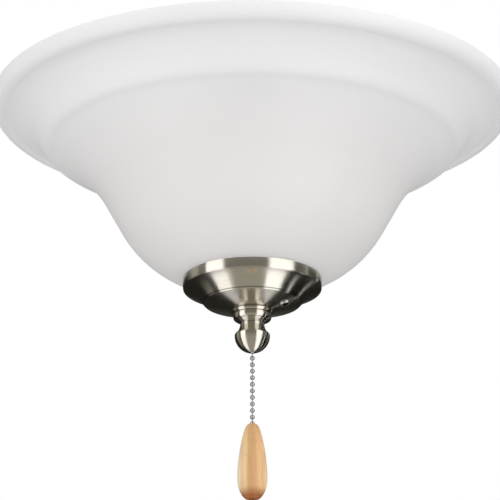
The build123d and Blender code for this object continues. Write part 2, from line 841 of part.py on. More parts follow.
with BuildPart() as inner_disc:
    with BuildSketch(Plane.XY.offset(disc_z)):
        Circle(disc_r)
        Circle(pipe_r + slip_gap, mode=Mode.SUBTRACT)
        with Locations((fan_chain_x, fan_chain_y)):
            Circle(fan_chain_hole_r, mode=Mode.SUBTRACT)
    extrude(amount=disc_wall)
    fillet(inner_disc.edges().group_by(Axis.Z)[-1].sort_by(SortBy.LENGTH)[-1], disc_round)
inner_disc.part.label = "inner_disc"
export_step(inner_disc.part, "parts/inner_disc.step")

with BuildPart() as disc_nut:
    hex_nut(disc_z + disc_wall, pipe_nut_height)
disc_nut.part.label = "disc_nut"
export_step(disc_nut.part, "parts/disc_nut.step")

# Rim ring between the glass and the bottom plate's edge
with BuildPart() as rim_ring:
    cushion(rim_ring_inner_r, spun_r, spun_top_z, -seat_gap)
rim_ring.part.label = "rim_ring"
export_step(rim_ring.part, "parts/rim_ring.step")

# Bottom plate, spun from sheet: band, bead, cove, step and dish
with BuildPart() as bottom_plate:
    with BuildSketch(Plane.XZ):
        with BuildLine():
            bead_edge = (spun_r - spun_bead, band_foot_z - spun_bead)
            Polyline((spun_r, spun_top_z), (spun_r, band_foot_z), bead_edge)
            SagittaArc(bead_edge, (step_r, step_z), -cove_sag)
            Polyline(
                (step_r, step_z),
                (step_r - step_inset, dish_z),
                (dish_r, finial_z),
                (pipe_r + slip_gap, finial_z),
            )
            offset(amount=spun_wall, side=Side.RIGHT)
        make_face()
    revolve(axis=Axis.Z)
    with BuildSketch(outlet_plane.offset(overrun)):
        Circle(outlet_barrel_r + thread_gap)
    extrude(amount=-spun_wall - 2 * overrun, mode=Mode.SUBTRACT)
bottom_plate.part.label = "bottom_plate"
export_step(bottom_plate.part, "parts/bottom_plate.step")

# Chain outlet: an eyelet square to the dish
with BuildPart() as chain_outlet:
    with BuildSketch(outlet_plane):
        Circle(outlet_flange_r)
    outer = extrude(amount=outlet_flange)
    fillet(outer.edges().group_by(Axis((0, 0, 0), outlet_plane.z_dir))[-1], outlet_round)
    with BuildSketch(outlet_plane):
        Circle(outlet_barrel_r)
    extrude(amount=-spun_wall - outlet_rise)
    with BuildSketch(outlet_plane.offset(outlet_flange + overrun)):
        Circle(outlet_bore_r)
    extrude(amount=-outlet_flange - spun_wall - outlet_rise - 2 * overrun, mode=Mode.SUBTRACT)
chain_outlet.part.label = "chain_outlet"
export_step(chain_outlet.part, "parts/chain_outlet.step")

# Turned finial, threaded from above and bored through for the chain
groove_z = finial_z - collar_height
second_z = groove_z - groove_height
neck_z = finial_z - neck_drop
ridge = (ridge_r, finial_z - ridge_drop)
ball_z = finial_z - ball_drop
with BuildPart() as finial:
    with BuildSketch(Plane.XZ):
        with BuildLine():
            Polyline(
                (pipe_bore_r, finial_z),
                (collar_r - collar_round, finial_z),
                (collar_r, finial_z - collar_round),
                (collar_r, groove_z + collar_round),
                (collar_r - collar_round, groove_z),
                (groove_r, groove_z),
                (groove_r, second_z),
                (second_r, second_z),
                (second_r, second_z - second_height + second_round),
            )
            rounding = TangentArc(
                (second_r, second_z - second_height + second_round),
                (second_r - second_round, second_z - second_height),
                tangent=(0, -1),
            )
            Line(rounding @ 1, (neck_r, neck_z))
            flare = TangentArc((neck_r, neck_z), ridge, tangent=(0, -1))
            belly = TangentArc((ball_r, ball_z), ridge, tangent=(0, 1))
            RadiusArc((ball_r, ball_z), (finial_mouth_r, mouth_z), ball_r)
            Polyline(
                (finial_mouth_r, mouth_z),
                (finial_mouth_r, rod_foot_z - overrun),
                (pipe_bore_r, rod_foot_z - overrun),
                (pipe_bore_r, finial_z),
            )
        make_face()
    revolve(axis=Axis.Z)
    with BuildSketch(Plane.XY.offset(finial_z + overrun)):
        Circle(pipe_r + thread_gap)
    extrude(amount=rod_foot_z - finial_z - 2 * overrun, mode=Mode.SUBTRACT)
finial.part.label = "finial"
export_step(finial.part, "parts/finial.step")


def bead_run(top, foot, hung=False):
    """Beads from one count to another with the links between, turned into the open part.

    A hung run starts with the link below the bead above it."""
    shy = sqrt(bead_r**2 - link_r**2)
    link_turn = degrees(asin(shy / bead_r))
    with BuildSketch(Plane.XZ) as section:
        with BuildLine():
            start = bead_z(top) + bead_r
            if hung:
                start = bead_z(top - 1) - bead_r - pivot_gap
                Polyline((0, start), (link_r, start), (link_r, bead_z(top) + shy))
                ThreePointArc(
                    (link_r, bead_z(top) + shy), (bead_r, bead_z(top)), (link_r, bead_z(top) - shy)
                )
            else:
                ThreePointArc(
                    (0, start), (bead_r * sin(pi / 3), bead_z(top) + bead_r / 2), (bead_r, bead_z(top))
                )
                CenterArc((0, bead_z(top)), bead_r, 0, -link_turn)
            for count in range(top + 1, foot + 1):
                middle = bead_z(count)
                Line((link_r, bead_z(count - 1) - shy), (link_r, middle + shy))
                end = (link_r, middle - shy) if count < foot else (0, middle - bead_r)
                ThreePointArc((link_r, middle + shy), (bead_r, middle), end)
            if top == foot:
                CenterArc((0, bead_z(top)), bead_r, -link_turn, link_turn - 90)
            Line((0, bead_z(foot) - bead_r), (0, start))
        make_face()
    revolve(section.sketch, axis=Axis.Z)


# Ball chain: the stretch that the rod guides, one swivelling bead, and the free stretch
with BuildPart() as inner_chain:
    bead_run(-guided_count, swivel_bead_count)
inner_chain.part.label = "inner_chain"
export_step(inner_chain.part, "parts/inner_chain.step")

with BuildPart() as swivel_link:
    bead_run(swivel_bead_count + 1, swivel_bead_count + 1, hung=True)
swivel_link.part.label = "swivel_link"
export_step(swivel_link.part, "parts/swivel_link.step")

with BuildPart() as outer_chain:
    bead_run(swivel_bead_count + 2, fob_bead_count + 1, hung=True)
outer_chain.part.label = "outer_chain"
export_step(outer_chain.part, "parts/outer_chain.step")

# Wooden fob, a teardrop that the last bead holds up from inside
throat_foot_z = bead_z(fob_bead_count + 1) + sqrt(bead_r**2 - fob_throat_r**2) + seat_gap
fob_foot_z = fob_top_z - fob_height
with BuildPart() as fob:
    with BuildSketch(Plane.XZ):
        with BuildLine():
            side_line = Spline(
                (fob_top_r, fob_top_z),
                *[(fob_r * width, fob_foot_z + fob_height * height) for height, width in fob_outline_shares],
                (fob_r, fob_foot_z + fob_height * fob_widest_share),
                *[(fob_r * width, fob_foot_z + fob_height * height) for height, width in fob_foot_shares],
                (fob_foot_r, fob_foot_z),
            )
            Polyline(
                side_line @ 1,
                (fob_bore_r, fob_foot_z),
                (fob_bore_r, throat_foot_z),
                (fob_throat_r, throat_foot_z),
                (fob_throat_r, bead_z(fob_bead_count) - bead_r - seat_gap),
                (fob_dish_r, bead_z(fob_bead_count) - bead_r / 2),
                (fob_dish_r, fob_top_z),
                side_line @ 0,
            )
        make_face()
    revolve(axis=Axis.Z)
fob.part.label = "fob"
export_step(fob.part, "parts/fob.step")

print("chain travel for a quarter turn of the drum, mm:", round(-drum_x * pi / 2, 3))
pivots = [round(bead_z(count), 3) for count in (swivel_bead_count, swivel_bead_count + 1)]
print("heights of the chain's two pivots, mm:", *pivots)
print("outlet centre, mm:", outlet_plane.origin, "normal:", outlet_plane.z_dir)
heights = [round(z, 3) for z in (finial_z, rod_foot_z, mouth_z, fob_top_z, fob_foot_z)]
print("finial top, rod foot, mouth, fob top and foot, mm:", *heights)
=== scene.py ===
import json
from math import atan2, cos, pi, radians, sin

import bmesh
import bpy
from mathutils import Matrix, Vector


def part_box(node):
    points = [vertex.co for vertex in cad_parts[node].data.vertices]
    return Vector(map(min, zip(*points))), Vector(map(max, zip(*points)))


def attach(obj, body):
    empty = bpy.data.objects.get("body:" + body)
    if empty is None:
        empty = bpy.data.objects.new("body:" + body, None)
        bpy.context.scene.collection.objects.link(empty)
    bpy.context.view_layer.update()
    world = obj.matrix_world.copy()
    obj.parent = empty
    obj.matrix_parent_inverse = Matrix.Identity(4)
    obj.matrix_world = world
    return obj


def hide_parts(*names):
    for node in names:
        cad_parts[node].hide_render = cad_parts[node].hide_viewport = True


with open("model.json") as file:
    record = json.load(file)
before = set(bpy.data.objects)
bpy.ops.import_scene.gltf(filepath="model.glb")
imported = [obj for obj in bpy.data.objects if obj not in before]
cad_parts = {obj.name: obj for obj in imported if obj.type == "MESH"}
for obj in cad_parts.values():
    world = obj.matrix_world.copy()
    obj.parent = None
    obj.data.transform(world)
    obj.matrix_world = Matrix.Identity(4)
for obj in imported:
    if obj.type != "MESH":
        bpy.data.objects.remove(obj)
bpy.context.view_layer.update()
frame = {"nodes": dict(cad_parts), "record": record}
print("frame loaded:", len(frame["nodes"]), "nodes")


# The camera stands below the rim and looks up at the bowl through a long lens;
# tilt in degrees, lens and sensor in millimetres, the rest in metres
camera = {
    "tilt": 19.38,
    "distance": 2.134,
    "lens": 244.8,
    "sensor": 36.0,
    "near": 0.05,
    "far": 60.0,
    "aimDrop": 0.1442,
    "sideways": -0.00144,
}
tilt = radians(camera["tilt"])
look = Vector((0, cos(tilt), sin(tilt)))
lens = bpy.data.cameras.new("photoLens")
lens.sensor_width = camera["sensor"]
lens.lens = camera["lens"]
lens.clip_start = camera["near"]
lens.clip_end = camera["far"]
eye = bpy.data.objects.new("photoCamera", lens)
eye.location = Vector((camera["sideways"], 0, -camera["aimDrop"])) - look * camera["distance"]
eye.rotation_mode = "QUATERNION"
eye.rotation_quaternion = look.to_track_quat("-Z", "Y")
bpy.context.scene.collection.objects.link(eye)
bpy.context.scene.camera = eye
bpy.context.scene.view_settings.view_transform = "Standard"
print("camera set")


class Reading:
    # one output in a node tree; sums and products of readings add Math nodes
    def __init__(self, tree, socket):
        self.tree = tree
        self.socket = socket

    def __add__(self, other):
        return self.tree.maths("ADD", self, other)

    def __sub__(self, other):
        return self.tree.maths("SUBTRACT", self, other)

    def __rsub__(self, other):
        return self.tree.maths("SUBTRACT", other, self)

    def __mul__(self, other):
        return self.tree.maths("MULTIPLY", self, other)

    def __truediv__(self, other):
        return self.tree.maths("DIVIDE", self, other)

    def __pow__(self, other):
        return self.tree.maths("POWER", self, other)


class Tree:
    # a node tree and its shader, whose constants are set by the names of their sockets
    def __init__(self, owner, shaderKind, constants):
        owner.use_nodes = True
        self.owner = owner
        self.nodes = owner.node_tree.nodes
        self.links = owner.node_tree.links
        self.shader = next(n for n in self.nodes if n.type == shaderKind)
        for name, value in constants.items():
            self.shader.inputs[name].default_value = value

    def feed(self, socket, value):
        if isinstance(value, Reading):
            self.links.new(value.socket, socket)
        else:
            socket.default_value = value

    def node(self, kind, settings, sockets, output=0):
        made = self.nodes.new("ShaderNode" + kind)
        for name, value in settings.items():
            if name == "stops":
                ramp = made.color_ramp.elements
                while len(ramp) < len(value):
                    ramp.new(1.0)
                for stop, (position, colour) in zip(ramp, value):
                    stop.position = position
                    stop.color = (*colour, 1.0)
            else:
                setattr(made, name, value)
        for name, value in sockets.items():
            self.feed(made.inputs[name], value)
        return Reading(self, made.outputs[output])

    def maths(self, operation, first, second=0.0):
        return self.node("Math", {"operation": operation}, {0: first, 1: second})

    def place(self):
        return self.node("TexCoord", {}, {}, "Object")

    def along(self, vector, axis):
        return self.node("SeparateXYZ", {}, {0: vector}, axis)

    def seenBy(self, ray):
        return self.node("LightPath", {}, {}, ray)

    def noise(self, vector, scale, detail=2.0):
        return self.node("TexNoise", {}, {"Vector": vector, "Scale": scale, "Detail": detail})

    def scaled(self, vector, scale):
        return self.node("Mapping", {}, {"Vector": vector, "Scale": scale})

    def ramp(self, mask, stops):
        return self.node("ValToRGB", {"stops": stops}, {"Fac": mask})

    def blend(self, first, second, share):
        # a share of the first reading, and the rest of the second
        return first * share + second * (1 - share)

    def mixed(self, mask, *sides):
        # from the first side to the second, where each is a colour or a reading
        first, second = (side if isinstance(side, Reading) else (*side, 1.0) for side in sides)
        return self.node("Mix", {"data_type": "RGBA"}, {0: mask, 6: first, 7: second}, 2)

    def mapped(self, reading, start, stop, low=0.0, high=1.0):
        # low at start, high at stop, held beyond both
        return self.node("MapRange", {}, {0: reading, 1: start, 2: stop, 3: low, 4: high})

    def between(self, mask, low, high):
        return self.mapped(mask, 0.0, 1.0, low, high)

    def nearLevels(self, height, levels):
        # 1 at each level, and 0 from its reach away
        mask = 0.0
        for level, reach in levels:
            near = 1.0 - self.maths("ABSOLUTE", height - level) / reach
            mask = self.maths("MAXIMUM", near, mask)
        return mask

    def relief(self, height, depth, strength):
        sockets = {"Height": height, "Distance": depth, "Strength": strength}
        self.feed(self.shader.inputs["Normal"], self.node("Bump", {}, sockets, "Normal"))

    def shade(self, **sockets):
        names = {
            "colour": "Base Color",
            "roughness": "Roughness",
            "coat": "Coat Weight",
        }
        for name, value in sockets.items():
            self.feed(self.shader.inputs[names[name]], value)


def finish(name, constants):
    return Tree(bpy.data.materials.new(name), "BSDF_PRINCIPLED", constants)


# Etched white glass, a little uneven from the acid, softly lit through, and with painted shade along its
# folds
etched = {
    "white": (0.93, 0.93, 0.93),
    # the bell below the shoulder is a little warmer and, as painted shade, darker than the tier above,
    # which light passes through from above, from one height to another
    "bell": (0.875, 0.85, 0.845),
    "bellFrom": -0.07,
    "bellTo": -0.105,
    "creaseShade": (0.885, 0.885, 0.885),
    # height of each fold and how far its painted shade reaches
    "creaseShadeLevels": ((-0.0556, 0.0024), (-0.078, 0.0026)),
    "cloudScale": 14.0,
    "cloudShare": 0.28,
    "cloudRelief": 0.8,
    "toothScale": 1800.0,
    "toothRelief": 0.02,
    "sheenScale": 45.0,
    "sheen": (0.42, 0.55),
    "depth": 0.0006,
    "strength": 0.25,
}


def etchedGlass():
    tree = finish(
        "etchedGlass",
        {
            "IOR": 1.5,
            "Specular IOR Level": 0.4,
            "Subsurface Weight": 0.35,
            "Subsurface Radius": (1.0, 0.95, 0.9),
            "Subsurface Scale": 0.006,
        },
    )
    spot = tree.place()
    cloud = tree.noise(spot, etched["cloudScale"], detail=3.0)
    tooth = tree.noise(spot, etched["toothScale"], detail=1.0)
    height = tree.along(spot, "Z")
    # a warm tint with painted shade on the bell, darker than the brighter tier above it
    bellShadeMask = tree.mapped(height, etched["bellFrom"], etched["bellTo"])
    bellShaded = tree.mixed(bellShadeMask + (cloud - 0.5) * etched["cloudShare"], etched["white"], etched["bell"])
    # painted shade: a darker grey along the folds, where shade falls
    colour = tree.mixed(tree.nearLevels(height, etched["creaseShadeLevels"]), bellShaded, etched["creaseShade"])
    sheen = tree.noise(spot, etched["sheenScale"])
    tree.shade(colour=colour, roughness=tree.between(sheen, *etched["sheen"]))
    bumps = cloud * etched["cloudRelief"] + tooth * etched["toothRelief"]
    tree.relief(bumps, etched["depth"], etched["strength"])
    return tree.owner


# Brushed nickel, turned: warm, with circular grain that pulls each reflection out along the profile,
# and painted shade as dark lines under the band, in the step and in the finial's groove
nickel = {
    "light": (0.78, 0.74, 0.67),
    "dark": (0.5, 0.465, 0.405),
    "corner": (0.1, 0.095, 0.075),
    "cornerShare": 0.8,
    "corners": ((-0.1789, 0.0005), (-0.18703, 0.0003), (-0.1933, 0.0003)),
    "rough": (0.15, 0.25),
    "pull": 0.9,
    "quarterTurn": 0.25,
    # scales of the streaks across and along the turning, and of smudges from handling
    "fine": 9000.0,
    "coarse": 1.6,
    "smudgeScale": 60.0,
    "grainShare": 0.6,
    "depth": 0.00003,
    "strength": 0.6,
    "axisGap": 0.000001,  # keeps the division defined on the axis
}


def turnedGrain(tree, spot):
    # streaks that run round Z, as a cloth or a cutting edge leaves them on a turned piece
    x, y, z = (tree.along(spot, axis) for axis in "XYZ")
    radius = (x * x + y * y) ** 0.5 + nickel["axisGap"]
    coarse, fine = nickel["coarse"], nickel["fine"]
    ring = tree.node("CombineXYZ", {}, {0: x / radius * coarse, 1: y / radius * coarse, 2: z * fine})
    return tree.node(
        "TexNoise",
        {"noise_dimensions": "4D"},
        {"Vector": ring, "W": radius * fine, "Scale": 1.0, "Detail": 3.0},
    )


def brushedNickel():
    tree = finish(
        "brushedNickel",
        {"Metallic": 1.0, "Anisotropic": nickel["pull"], "Anisotropic Rotation": nickel["quarterTurn"]},
    )
    spot = tree.place()
    grain = turnedGrain(tree, spot)
    smudge = tree.noise(spot, nickel["smudgeScale"])
    # painted shade: dark rings at the heights of the band's foot, the step and the finial's groove
    grooveShadeMask = tree.nearLevels(tree.along(spot, "Z"), nickel["corners"])
    polished = tree.mixed(grain, nickel["dark"], nickel["light"])
    handled = tree.blend(grain, smudge, nickel["grainShare"])
    tree.shade(
        colour=tree.mixed(grooveShadeMask * nickel["cornerShare"], polished, nickel["corner"]),
        roughness=tree.between(handled, *nickel["rough"]),
    )
    tree.relief(grain, nickel["depth"], nickel["strength"])
    return tree.owner


# Pipe thread rolled on zinc-plated pipe: its pitch comes from the coupling of bowl and finial
thread = {
    "pitch": 0.0254 / 27,
    "rootShade": (0.34, 0.34, 0.35),
    "crest": (0.72, 0.73, 0.74),
    "bloomScale": 300.0,
    "ridgeShare": 0.7,
    "rough": (0.25, 0.45),
    "depth": 0.0003,
    "strength": 1.0,
}


def threadedPipe():
    tree = finish("threadedPipe", {"Metallic": 1.0})
    spot = tree.place()
    x, y, z = (tree.along(spot, axis) for axis in "XYZ")
    turn = tree.maths("ARCTAN2", y, x) / (2 * pi)
    ridge = tree.maths("PINGPONG", z / thread["pitch"] + turn, 0.5) * 2.0
    bloom = tree.noise(spot, thread["bloomScale"])
    # painted shade darkens the thread's roots and leaves the crests light, mixed with a random bloom
    rootShadeAndBloom = tree.blend(ridge, bloom, thread["ridgeShare"])
    tree.shade(
        colour=tree.mixed(rootShadeAndBloom, thread["rootShade"], thread["crest"]),
        roughness=tree.between(bloom, *thread["rough"]),
    )
    tree.relief(ridge, thread["depth"], thread["strength"])
    return tree.owner


# Light wood under thin clear lacquer, with painted side light that makes it paler towards both sides of
# the fob, long grain with short dark pores, and darker and redder towards the foot
wood = {
    # painted side light across the fob, paler towards both sides: place from its left to its right side,
    # and colour
    "paintedSideLight": (
        (0.04, (1.0, 0.87, 0.65)),
        (0.15, (1.0, 0.78, 0.5)),
        (0.27, (0.92, 0.64, 0.32)),
        (0.41, (0.71, 0.42, 0.2)),
        (0.49, (0.68, 0.39, 0.18)),
        (0.6, (0.8, 0.465, 0.22)),
        (0.7, (0.83, 0.495, 0.235)),
        (0.8, (0.93, 0.59, 0.3)),
        (0.92, (1.0, 0.7, 0.38)),
    ),
    "halfWidth": 0.0095,
    # noise and rings are drawn out along Z, the pores even more
    "alongGrain": (1.0, 1.0, 0.08),
    "alongPores": (1.0, 1.0, 0.045),
    "wanderScale": 130.0,
    "wanderShare": 0.25,
    "wanderRelief": 0.2,
    "rings": {"Scale": 70.0, "Distortion": 6.0, "Detail": 3.0, "Detail Scale": 1.4},
    "ringShare": 0.5,
    "grain": (0.52, 0.26, 0.11),
    "grainFrom": 0.45,
    "grainTo": 0.9,
    "grainShare": 0.35,
    "pore": (0.4, 0.19, 0.08),
    "poreScale": 1500.0,
    "poreFrom": 0.62,
    "poreTo": 0.72,
    "poreShare": 0.35,
    "poreRelief": -0.5,
    # darker, redder colour towards the foot, and the heights between which it starts
    "footColour": (0.36, 0.1, 0.02),
    "footFrom": -0.2994,
    "footTo": -0.3042,
    "footShare": 0.9,
    "rough": (0.38, 0.5),
    "coat": 0.12,
    "depth": 0.00008,
    "strength": 0.4,
}


def lacqueredWood():
    tree = finish("lacqueredWood", {"Coat Roughness": 0.16, "Coat IOR": 1.5, "Specular IOR Level": 0.25})
    spot = tree.place()
    long = tree.scaled(spot, wood["alongGrain"])
    wander = tree.noise(long, wood["wanderScale"], detail=4.0)
    bands = {"wave_type": "BANDS", "bands_direction": "X"}
    rings = tree.node("TexWave", bands, {"Vector": long, **wood["rings"]})
    pores = tree.noise(tree.scaled(spot, wood["alongPores"]), wood["poreScale"], detail=1.0)
    pits = tree.mapped(pores, wood["poreFrom"], wood["poreTo"])
    foot = tree.mapped(tree.along(spot, "Z"), wood["footFrom"], wood["footTo"], 0.0, wood["footShare"])
    side = tree.along(spot, "X") / (2 * wood["halfWidth"]) + 0.5
    # painted light: the colour grows paler towards the fob's left and right sides, as if lit from there
    body = tree.ramp(side + (wander - 0.5) * wood["wanderShare"], wood["paintedSideLight"])
    lines = tree.blend(rings, wander, wood["ringShare"])
    grain = tree.mapped(lines, wood["grainFrom"], wood["grainTo"], 0.0, wood["grainShare"])
    for mask, colour in ((grain, "grain"), (pits * wood["poreShare"], "pore"), (foot, "footColour")):
        body = tree.mixed(mask, body, wood[colour])
    tree.shade(colour=body, roughness=tree.between(wander, *wood["rough"]), coat=wood["coat"])
    bumps = pits * wood["poreRelief"] + wander * wood["wanderRelief"]
    tree.relief(bumps, wood["depth"], wood["strength"])
    return tree.owner


# Metals that aren't brushed. Slot: material, light and dark colour, roughness, scale of the bloom
metals = {
    "bright_nickel": ("brightNickel", (0.72, 0.7, 0.66), (0.6, 0.58, 0.54), (0.1, 0.18), 220.0),
    "chain_nickel": ("chainNickel", (0.6, 0.59, 0.57), (0.42, 0.41, 0.4), (0.14, 0.26), 900.0),
    "zinc_steel": ("zincSteel", (0.7, 0.71, 0.72), (0.52, 0.53, 0.55), (0.28, 0.42), 220.0),
    "shell_metal": ("rolledBrass", (0.78, 0.6, 0.3), (0.6, 0.44, 0.2), (0.25, 0.4), 220.0),
    "brass": ("plainBrass", (0.8, 0.62, 0.32), (0.62, 0.46, 0.22), (0.22, 0.36), 220.0),
    "base_metal": ("baseMetal", (0.78, 0.78, 0.8), (0.62, 0.62, 0.65), (0.22, 0.36), 220.0),
    "spring_steel": ("springSteel", (0.42, 0.45, 0.52), (0.28, 0.3, 0.36), (0.25, 0.38), 220.0),
}
# Scale of the sheen for each unit of the bloom's, and the relief of the bloom
metalSurface = {"sheenScale": 0.4, "depth": 0.00002, "strength": 0.5}


def plainMetal(name, light, dark, rough, scale):
    tree = finish(name, {"Metallic": 1.0})
    spot = tree.place()
    bloom = tree.noise(spot, scale, detail=3.0)
    sheen = tree.noise(spot, scale * metalSurface["sheenScale"])
    tree.shade(colour=tree.mixed(bloom, dark, light), roughness=tree.between(sheen, *rough))
    tree.relief(bloom, metalSurface["depth"], metalSurface["strength"])
    return tree.owner


# Pieces that are dull or glossy without being metal: enamel, porcelain, frosted glass, rubber, fibre
# and moulded plastic. Slot: material, light and dark colour, roughness, scale of the cloud, and coat
# where there is one
solids = {
    "white_enamel": ("whiteEnamel", (0.82, 0.82, 0.8), (0.76, 0.76, 0.74), (0.25, 0.4), 60.0, 0.4),
    "porcelain": ("porcelain", (0.84, 0.83, 0.78), (0.78, 0.77, 0.72), (0.1, 0.22), 40.0, 0.8),
    "frosted_glass": ("frostedGlass", (0.9, 0.9, 0.89), (0.87, 0.87, 0.86), (0.12, 0.2), 20.0),
    "white_rubber": ("whiteRubber", (0.72, 0.72, 0.7), (0.64, 0.64, 0.62), (0.6, 0.8), 300.0),
    "black_rubber": ("blackRubber", (0.03, 0.03, 0.03), (0.02, 0.02, 0.02), (0.55, 0.75), 400.0),
    "black_phenolic": ("blackPhenolic", (0.04, 0.036, 0.033), (0.025, 0.022, 0.02), (0.3, 0.45), 250.0),
    "red_fibre": ("redFibre", (0.3, 0.08, 0.05), (0.2, 0.05, 0.03), (0.5, 0.7), 350.0),
    "black_insulation": ("blackInsulation", (0.03, 0.03, 0.03), (0.02, 0.02, 0.02), (0.35, 0.5), 500.0),
    "white_insulation": ("whiteInsulation", (0.78, 0.78, 0.76), (0.7, 0.7, 0.68), (0.35, 0.5), 500.0),
    "cap_plastic": ("capPlastic", (0.66, 0.2, 0.04), (0.56, 0.16, 0.03), (0.2, 0.32), 200.0, 0.3),
}
# Scale of the sheen for each unit of the cloud's, and the relief of the cloud
solidSurface = {"sheenScale": 3.0, "depth": 0.00004, "strength": 0.4}
# Light spreads a few millimetres in the frosted glass of a bulb
scattering = {
    "frosted_glass": {
        "Subsurface Weight": 0.4,
        "Subsurface Radius": (1.0, 1.0, 1.0),
        "Subsurface Scale": 0.004,
    },
}


def plainSolid(constants, name, light, dark, rough, scale, coat=0.0):
    tree = finish(name, constants)
    spot = tree.place()
    cloud = tree.noise(spot, scale, detail=3.0)
    sheen = tree.noise(spot, scale * solidSurface["sheenScale"])
    tree.shade(colour=tree.mixed(cloud, light, dark), roughness=tree.between(sheen, *rough), coat=coat)
    tree.relief(cloud, solidSurface["depth"], solidSurface["strength"])
    return tree.owner


finishes = {
    "etched_glass": etchedGlass(),
    "brushed_nickel": brushedNickel(),
    "light_wood": lacqueredWood(),
}
for slot, values in metals.items():
    finishes[slot] = plainMetal(*values)
for slot, values in solids.items():
    finishes[slot] = plainSolid(scattering.get(slot, {}), *values)
threadedNodes = ("top_nipple", "centre_rod")
pipeThread = threadedPipe()

for part in frame["record"]["subparts"]:
    threaded = part["node"] in threadedNodes
    node = frame["nodes"][part["node"]]
    node.data.materials.clear()
    node.data.materials.append(pipeThread if threaded else finishes[part["material_slot"]])


# Blender pieces: outlines are turned round Z from points (radius, drop from the top), in mm
def turnedPiece(name, outline, top, body, slot, levels, steps):
    bm = bmesh.new()
    spots = [bm.verts.new((radius / 1000, 0, top - drop / 1000)) for radius, drop in outline]
    edges = [bm.edges.new(pair) for pair in zip(spots, spots[1:] + spots[:1])]
    bmesh.ops.spin(bm, geom=spots + edges, axis=(0, 0, 1), angle=2 * pi, steps=steps, use_merge=True)
    bmesh.ops.recalc_face_normals(bm, faces=bm.faces)
    return solidPiece(name, bm, body, slot, levels)


def solidPiece(name, bm, body, slot, levels):
    for face in bm.faces:
        face.smooth = True
    mesh = bpy.data.meshes.new(name)
    bm.to_mesh(mesh)
    bm.free()
    mesh.materials.append(finishes[slot])
    made = bpy.data.objects.new(name, mesh)
    bpy.context.scene.collection.objects.link(made)
    smooth = made.modifiers.new("smooth", "SUBSURF")
    smooth.levels = levels
    smooth.render_levels = levels
    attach(made, body)
    return made


# Wooden fob: softer at its top than the plain turning, with the last bead half sunk in it
fobTurning = {
    "outline": (
        (2.1, 0.5), (2.1, 0.15), (2.5, 0.02), (3.1, 0.5), (3.8, 1.35), (4.5, 2.6), (5.25, 5.0),
        (6.4, 9.1), (7.2, 13.2), (7.9, 17.3), (8.5, 21.4), (8.95, 25.5), (9.3, 30.0), (9.4, 34.0),
        (9.2, 38.0), (8.3, 42.0), (6.8, 45.0), (4.9, 47.3), (3.4, 47.95), (2.5, 47.98),
        (2.05, 47.6), (2.0, 45.0), (2.0, 4.0), (2.0, 2.6), (1.7, 2.5), (0.8, 2.5), (0.8, 1.35),
        (1.2, 1.1),
    ),
    "levels": 2,
    "steps": 32,
}
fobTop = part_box("fob")[1][2]
fob = turnedPiece(
    "fobTurning",
    fobTurning["outline"],
    fobTop,
    "fob",
    "light_wood",
    fobTurning["levels"],
    fobTurning["steps"],
)
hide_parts("fob")
print("fob turned")

# Rolled hem round the foot of the bottom plate's band, in mm but for its height in metres
hem = {"ringRadius": 42.9, "wireRadius": 0.48, "height": -0.1701, "sides": 10, "levels": 1, "steps": 96}
hemOutline = []
for side in range(hem["sides"]):
    angle = 2 * pi * side / hem["sides"]
    radius = hem["ringRadius"] + hem["wireRadius"] * cos(angle)
    hemOutline.append((radius, hem["wireRadius"] * sin(angle)))
turnedPiece("plateHem", hemOutline, hem["height"], "bowl", "brushed_nickel", hem["levels"], hem["steps"])
print("hem rolled")

# Ball chain: hollow balls with a hole at each pole, strung on pins that have a head in each ball
ballChain = {
    "pitch": 0.3048 / 72,
    "radius": 0.0016,
    "wall": 0.00022,
    "hole": 24.0,  # degrees from the pole to the edge of the hole
    "rings": 6,
    "steps": 14,
    "pinRadius": 0.0004,
    "pinSides": 8,
    "headRadius": 0.00075,
    "headRings": 6,
    "swivelGap": 0.00012,
    "firstBall": -0.215389,
    "levels": 1,
    # node: its body, and its first and last ball, counted down from the first below the finial
    "runs": {
        "inner_chain": ("guided_chain", None, 2),
        "swivel_link": ("swivel", 3, 3),
        "outer_chain": ("hanging_chain", 4, 11),
    },
}


def ballHeight(count):
    return ballChain["firstBall"] - count * ballChain["pitch"]


def ballPattern():
    # one ball round the origin: its outer shell from pole to pole, and its inner shell back
    rings, hole = ballChain["rings"], ballChain["hole"]
    angles = [radians(hole + (180 - 2 * hole) * ring / rings) for ring in range(rings + 1)]
    shells = ((ballChain["radius"], angles), (ballChain["radius"] - ballChain["wall"], angles[::-1]))
    bm = bmesh.new()
    spots = []
    for reach, turns in shells:
        spots += [bm.verts.new((reach * sin(turn), 0, reach * cos(turn))) for turn in turns]
    edges = [bm.edges.new(pair) for pair in zip(spots, spots[1:] + spots[:1])]
    steps = ballChain["steps"]
    bmesh.ops.spin(bm, geom=spots + edges, axis=(0, 0, 1), angle=2 * pi, steps=steps, use_merge=True)
    pattern = bpy.data.meshes.new("ballPattern")
    bm.to_mesh(pattern)
    bm.free()
    return pattern


def addBall(bm, pattern, height):
    before = len(bm.verts)
    bm.from_mesh(pattern)
    bm.verts.ensure_lookup_table()
    bmesh.ops.translate(bm, verts=bm.verts[before:], vec=(0, 0, height))


def addPin(bm, top, foot, headTop, headFoot):
    # a pin between two heights, with a head at each end that lies in a ball
    middle = Matrix.Translation((0, 0, (top + foot) / 2))
    sides, thick = ballChain["pinSides"], ballChain["pinRadius"]
    bmesh.ops.create_cone(
        bm, cap_ends=True, segments=sides, radius1=thick, radius2=thick, depth=top - foot, matrix=middle
    )
    rings, reach = ballChain["headRings"], ballChain["headRadius"]
    for height, wanted in ((top, headTop), (foot, headFoot)):
        if wanted:
            centre = Matrix.Translation((0, 0, height))
            bmesh.ops.create_uvsphere(bm, u_segments=sides, v_segments=rings, radius=reach, matrix=centre)


